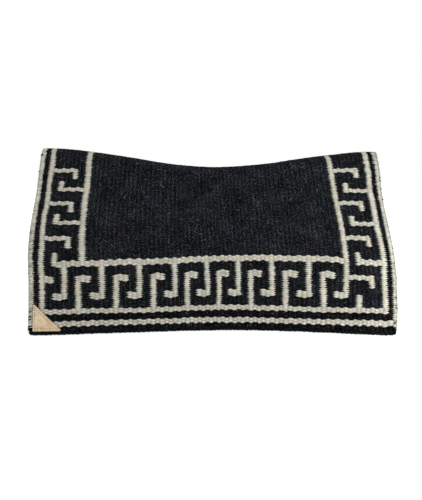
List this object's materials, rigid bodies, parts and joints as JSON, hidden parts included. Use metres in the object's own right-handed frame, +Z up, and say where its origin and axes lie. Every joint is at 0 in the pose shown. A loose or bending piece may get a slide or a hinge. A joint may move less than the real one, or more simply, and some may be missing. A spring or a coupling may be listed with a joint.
{
  "type": "western saddle pad",
  "caption": "Contoured wool saddle pad with a hand-woven Greek key border, felt underlay and spine seam, standing as an arch.",
  "frame": {"origin": "centre of the bounding box on the floor that the hems stand on", "axes": "+X along the spine from the withers end to the rear end, -Y out of the near side, +Z up"},
  "size_m": [0.864, 0.5314, 0.4181],
  "materials": {
    "black_wool": "dyed black wool yarn, packed weft, matt with charcoal flecks",
    "pale_wool": "undyed grey-beige wool yarn, packed weft, matt",
    "charcoal_felt": "pressed wool felt, fuzzy and matt",
    "seam_cloth": "black woven cotton tape",
    "tan_leather": "vegetable-tanned leather, smooth grain side out, waxed"
  },
  "bodies": {
    "root": {"near_field_weave": "black_wool", "off_field_weave": "black_wool", "near_meander_weave": "black_wool", "off_meander_weave": "black_wool", "near_guard_stripe_weave": "black_wool", "off_guard_stripe_weave": "black_wool", "near_hem_band_weave": "black_wool", "off_hem_band_weave": "black_wool", "near_hem_cord": "black_wool", "off_hem_cord": "black_wool", "spine_lacing_yarn": "black_wool", "near_inner_key_weave": "pale_wool", "off_inner_key_weave": "pale_wool", "near_outer_key_weave": "pale_wool", "off_outer_key_weave": "pale_wool", "near_edge_band_weave": "pale_wool", "off_edge_band_weave": "pale_wool", "near_front_selvedge_cord": "pale_wool", "off_front_selvedge_cord": "pale_wool", "near_rear_selvedge_cord": "pale_wool", "off_rear_selvedge_cord": "pale_wool", "near_felt_underlay": "charcoal_felt", "off_felt_underlay": "charcoal_felt", "spine_seam_tape": "seam_cloth", "corner_patch": "tan_leather"}
  },
  "joints": []
}
